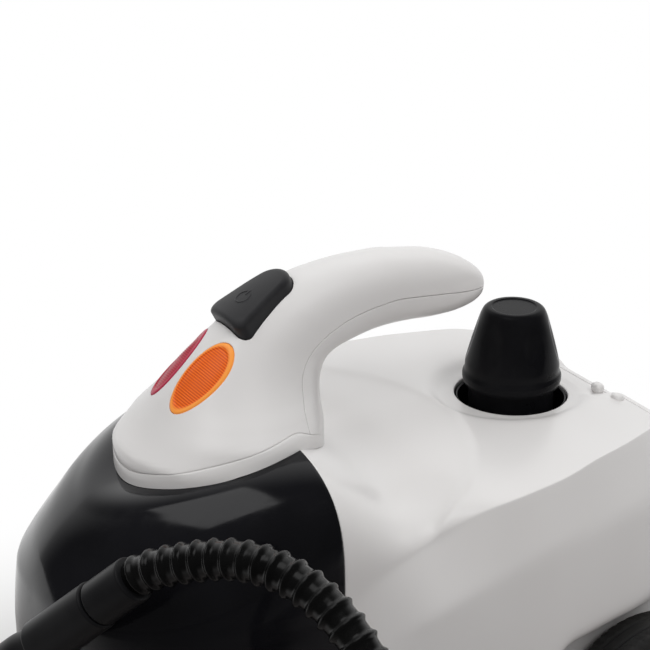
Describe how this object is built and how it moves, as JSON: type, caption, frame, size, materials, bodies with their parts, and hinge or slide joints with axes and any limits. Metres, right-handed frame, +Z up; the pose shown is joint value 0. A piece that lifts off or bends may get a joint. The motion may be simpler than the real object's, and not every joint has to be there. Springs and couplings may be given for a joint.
{
  "type": "canister steam cleaner",
  "caption": "Wheeled canister steam cleaner with a glossy black nose, white shell, arched carrying handle, child-proof filler cap and a ribbed steam hose leading to its parked steam gun.",
  "frame": {"origin": "on the floor under the middle of the machine, not counting the hose: the centre of the footprint's bounding box, at the bottom", "axes": "+Z up; +Y from the nose to the rear, the machine's long way; +X to the machine's side that shows the amber light"},
  "size_m": [0.4917, 0.3933, 0.2715],
  "materials": {
    "white_shell": "satin white moulded plastic",
    "black_gloss": "piano black, mirror gloss",
    "black_satin": "satin black moulded plastic",
    "black_rubber": "black flexible rubber, low sheen",
    "steel": "plain stainless steel",
    "brass": "turned brass",
    "aluminium": "cast and drawn, satin",
    "grey_plastic": "dark grey moulded plastic",
    "red_lens": "clear red, ribbed inside",
    "amber_lens": "clear amber, ribbed inside"
  },
  "bodies": {
    "machine": {"main_shell": "white_shell", "front_cover": "black_gloss", "rear_cover": "white_shell", "base_tray": "grey_plastic", "handle_collar": "white_shell", "handle_upper_shell": "white_shell", "handle_lower_shell": "white_shell", "switch_body": "grey_plastic", "red_lens": "red_lens", "amber_lens": "amber_lens", "red_lamp": "grey_plastic", "amber_lamp": "grey_plastic", "filler_well": "black_satin", "filler_neck": "brass", "boiler_upper": "aluminium", "boiler_lower": "aluminium", "boiler_gasket": "black_rubber", "boiler_cradle": "steel", "heating_element": "steel", "thermostat": "black_satin", "pressure_switch": "grey_plastic", "steam_outlet": "brass", "steam_pipe": "steel", "steam_valve": "brass", "solenoid_coil": "black_satin", "outlet_pipe": "steel", "hose_socket": "black_satin", "terminal_block": "grey_plastic", "mains_gland": "black_rubber", "axle_pin_left": "steel", "axle_pin_right": "steel", "gun_holster": "black_satin", "gun_shell_front": "white_shell", "gun_shell_back": "white_shell", "gun_pipe": "steel", "gun_nozzle": "black_satin", "gun_cuff": "black_satin", "hose_elbow": "black_satin", "hose_sleeve": "black_satin", "hose_cuff": "black_satin", "hose_front": "black_rubber", "hose_coil": "black_rubber", "hose_rear": "black_rubber"},
    "button": {"power_button": "black_satin"},
    "cap_core": {"relief_valve": "steel", "relief_spring": "steel"},
    "cap": {"safety_cap": "black_satin", "cap_plug": "brass", "spring_retainer": "brass", "cap_seal": "black_rubber"},
    "wheel_left": {"rear_wheel_left": "black_rubber", "hubcap_left": "white_shell"},
    "wheel_right": {"rear_wheel_right": "black_rubber", "hubcap_right": "white_shell"},
    "fork": {"caster_fork": "black_satin", "caster_pin": "steel"},
    "small_wheel": {"caster_wheel": "black_rubber"},
    "trigger": {"gun_trigger": "black_satin"},
    "lock": {"trigger_lock": "black_satin"}
  },
  "joints": [
    {"name": "button_press", "type": "slide", "parent": "machine", "child": "button", "axis": [0, 0.4791, -0.8778], "range_m": [0, 0.002], "stiffness_N_per_m": 1500, "springref_m": -0.001},
    {"name": "cap_lift", "type": "slide", "parent": "machine", "child": "cap_core", "axis": [0, 0, 1], "range_m": [0, 0.006]},
    {"name": "cap_turn", "type": "hinge", "parent": "cap_core", "child": "cap", "pos_m": [0, 0.096, 0.19], "axis": [0, 0, 1], "range_deg": [0, 720]},
    {"name": "wheel_left_spin", "type": "hinge", "parent": "machine", "child": "wheel_left", "pos_m": [0.1, 0.112, 0.047], "axis": [1, 0, 0], "continuous": true},
    {"name": "wheel_right_spin", "type": "hinge", "parent": "machine", "child": "wheel_right", "pos_m": [-0.1, 0.112, 0.047], "axis": [1, 0, 0], "continuous": true},
    {"name": "caster_swivel", "type": "hinge", "parent": "machine", "child": "fork", "pos_m": [0, -0.118, 0.025], "axis": [0, 0, 1], "continuous": true},
    {"name": "caster_roll", "type": "hinge", "parent": "fork", "child": "small_wheel", "pos_m": [0, -0.111, 0.0125], "axis": [1, 0, 0], "continuous": true},
    {"name": "trigger_squeeze", "type": "hinge", "parent": "machine", "child": "trigger", "pos_m": [-0.00409, 0.1655, 0.11496], "axis": [0, -1, 0], "range_deg": [0, 12], "stiffness_Nm_per_rad": 1, "springref_deg": -8.59},
    {"name": "lock_slide", "type": "slide", "parent": "machine", "child": "lock", "axis": [0.9135, 0, -0.4067], "range_m": [0, 0.003]}
  ],
  "couplings": [
    {"joint": "cap_turn", "follows": "cap_lift", "rad_per_m": 2094.4}
  ]
}
